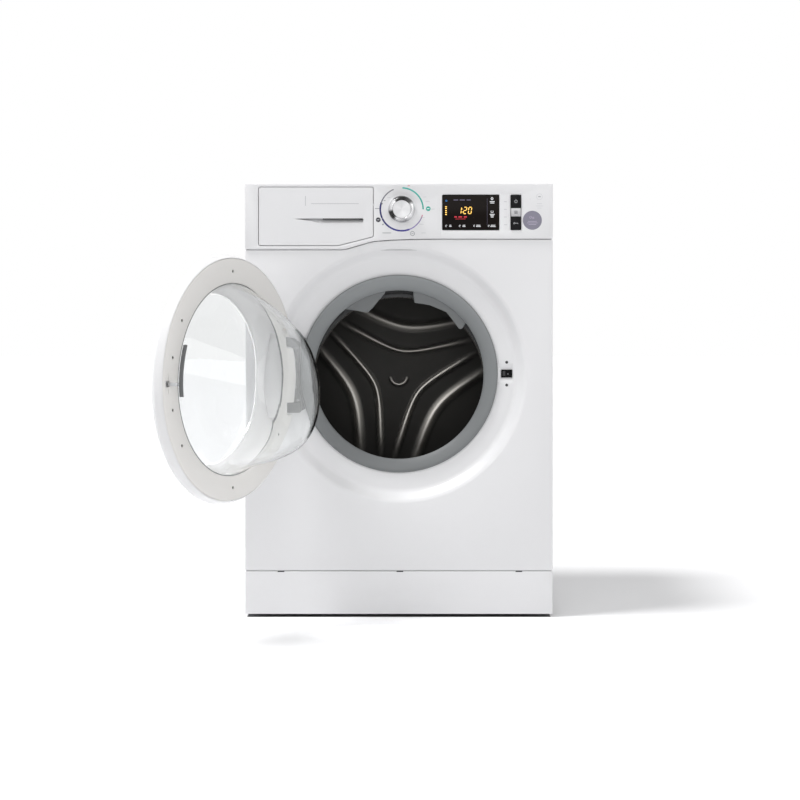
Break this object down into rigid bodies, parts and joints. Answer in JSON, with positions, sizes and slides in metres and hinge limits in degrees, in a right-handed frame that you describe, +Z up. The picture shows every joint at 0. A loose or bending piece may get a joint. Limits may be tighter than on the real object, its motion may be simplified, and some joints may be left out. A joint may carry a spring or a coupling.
{
  "type": "front load washing machine",
  "caption": "Front-loading washing machine with an open glass door, a hanging tub and drum with belt drive, a pull-out detergent drawer, a programme knob and push buttons.",
  "frame": {"origin": "middle of the bounding box's base on the floor, with the door standing open as stored", "axes": "+Z up, the machine's front faces -Y and its back +Y, +X to the right as seen from the front"},
  "size_m": [0.7378, 1.0252, 0.845],
  "materials": {
    "white_enamel": "smooth baked enamel",
    "white_plastic": "smooth satin moulding",
    "frame_plastic": "fine matt moulding",
    "grey_plastic": "matt moulding",
    "black_plastic": "satin moulding",
    "black_glass": "polished dark window",
    "clear_glass": "clear, fire polished",
    "grey_rubber": "smooth moulded rubber",
    "black_rubber": "moulded rubber",
    "chrome": "satin chrome plating",
    "drum_steel": "bright rolled stainless steel",
    "zinc_steel": "zinc plated steel",
    "cast_alloy": "sand cast alloy",
    "tub_plastic": "filled polypropylene",
    "cast_iron": "rough casting",
    "board_green": "lacquered circuit board"
  },
  "bodies": {
    "cabinet": {"side_panel_left": "white_enamel", "side_panel_right": "white_enamel", "back_panel": "white_enamel", "back_cover": "white_enamel", "base_pan": "grey_plastic", "worktop": "white_plastic", "front_panel": "white_enamel", "fascia": "white_plastic", "plinth": "white_plastic", "display_window": "black_glass", "control_board": "board_green", "dispenser_housing": "white_plastic", "inlet_valve": "white_plastic", "cord_gland": "black_rubber", "drain_pump": "grey_plastic", "door_lock": "black_plastic", "hinge_bracket": "grey_plastic", "hinge_pin": "zinc_steel", "door_seal": "grey_rubber", "damper_case_left": "grey_plastic", "damper_case_right": "grey_plastic", "spring_left": "zinc_steel", "spring_right": "zinc_steel"},
    "door": {"door_outer_ring": "white_plastic", "door_inner_frame": "frame_plastic", "door_glass": "clear_glass", "door_window": "clear_glass", "door_hinge_leaf": "zinc_steel"},
    "handle": {"door_handle": "grey_plastic"},
    "latch": {"latch_hook": "zinc_steel"},
    "drawer": {"drawer_front": "white_plastic", "drawer_tray": "white_plastic"},
    "knob": {"programme_knob": "chrome"},
    "option_button": {"option_button": "black_plastic"},
    "start_button": {"start_button": "chrome"},
    "power_button": {"power_button": "black_plastic"},
    "filter": {"filter_cap": "white_plastic"},
    "tub": {"tub_front": "tub_plastic", "tub_rear": "tub_plastic", "front_counterweight": "cast_iron", "top_counterweight": "cast_iron", "bearing_front": "zinc_steel", "bearing_rear": "zinc_steel", "heater": "zinc_steel", "motor": "cast_alloy", "damper_rod_left": "zinc_steel", "damper_rod_right": "zinc_steel", "drive_belt": "black_rubber"},
    "drum": {"drum_shell": "drum_steel", "drum_back": "drum_steel", "lifter_1": "grey_plastic", "lifter_2": "grey_plastic", "lifter_3": "grey_plastic", "drum_spider": "cast_alloy", "drum_pulley": "cast_alloy"},
    "rotor": {"motor_pulley": "zinc_steel"},
    "foot_front_left": {"foot_front_left": "black_rubber"},
    "foot_front_right": {"foot_front_right": "black_rubber"},
    "foot_back_left": {"foot_back_left": "black_rubber"},
    "foot_back_right": {"foot_back_right": "black_rubber"}
  },
  "joints": [
    {"name": "door_hinge", "type": "hinge", "parent": "cabinet", "child": "door", "pos_m": [-0.1548, -0.1059, 0.474], "axis": [0, 0, -1], "range_deg": [-119, 46]},
    {"name": "handle_pull", "type": "hinge", "parent": "door", "child": "handle", "pos_m": [-0.36289, -0.47614, 0.474], "axis": [0, 0, 1], "range_deg": [0, 25], "stiffness_Nm_per_rad": 0.4, "springref_deg": -11.46},
    {"name": "latch_turn", "type": "hinge", "parent": "door", "child": "latch", "pos_m": [-0.34737, -0.4956, 0.474], "axis": [0, 0, 1], "range_deg": [-10, 0]},
    {"name": "drawer_slide", "type": "slide", "parent": "cabinet", "child": "drawer", "axis": [0, -1, 0], "range_m": [0, 0.2]},
    {"name": "knob_turn", "type": "hinge", "parent": "cabinet", "child": "knob", "pos_m": [0.0744, -0.0859, 0.795], "axis": [0, -1, 0], "continuous": true},
    {"name": "filter_turn", "type": "hinge", "parent": "cabinet", "child": "filter", "pos_m": [0.2589, -0.0859, 0.0525], "axis": [0, -1, 0], "range_deg": [0, 90]},
    {"name": "tub_bounce", "type": "slide", "parent": "cabinet", "child": "tub", "axis": [0, 0, 1], "range_m": [-0.01, 0.01], "stiffness_N_per_m": 14000, "springref_m": 0.033, "deforming": ["spring_left", "spring_right", "door_seal"]},
    {"name": "drum_spin", "type": "hinge", "parent": "tub", "child": "drum", "pos_m": [0.0689, -0.0859, 0.452], "axis": [0, -1, 0], "continuous": true},
    {"name": "motor_spin", "type": "hinge", "parent": "tub", "child": "rotor", "pos_m": [0.0689, -0.0859, 0.112], "axis": [0, -1, 0], "continuous": true},
    {"name": "option_button_press", "type": "slide", "parent": "cabinet", "child": "option_button", "axis": [0, 1, 0], "range_m": [0, 0.0012], "stiffness_N_per_m": 800, "springref_m": -0.001},
    {"name": "start_button_press", "type": "slide", "parent": "cabinet", "child": "start_button", "axis": [0, 1, 0], "range_m": [0, 0.0012], "stiffness_N_per_m": 800, "springref_m": -0.001},
    {"name": "power_button_press", "type": "slide", "parent": "cabinet", "child": "power_button", "axis": [0, 1, 0], "range_m": [0, 0.0012], "stiffness_N_per_m": 800, "springref_m": -0.001},
    {"name": "foot_front_left_level", "type": "slide", "parent": "cabinet", "child": "foot_front_left", "axis": [0, 0, -1], "range_m": [0, 0.012]},
    {"name": "foot_front_right_level", "type": "slide", "parent": "cabinet", "child": "foot_front_right", "axis": [0, 0, -1], "range_m": [0, 0.012]},
    {"name": "foot_back_left_level", "type": "slide", "parent": "cabinet", "child": "foot_back_left", "axis": [0, 0, -1], "range_m": [0, 0.012]},
    {"name": "foot_back_right_level", "type": "slide", "parent": "cabinet", "child": "foot_back_right", "axis": [0, 0, -1], "range_m": [0, 0.012]}
  ],
  "couplings": [
    {"joint": "motor_spin", "follows": "drum_spin", "ratio": 12.333},
    {"joint": "latch_turn", "follows": "handle_pull", "ratio": -0.4}
  ]
}
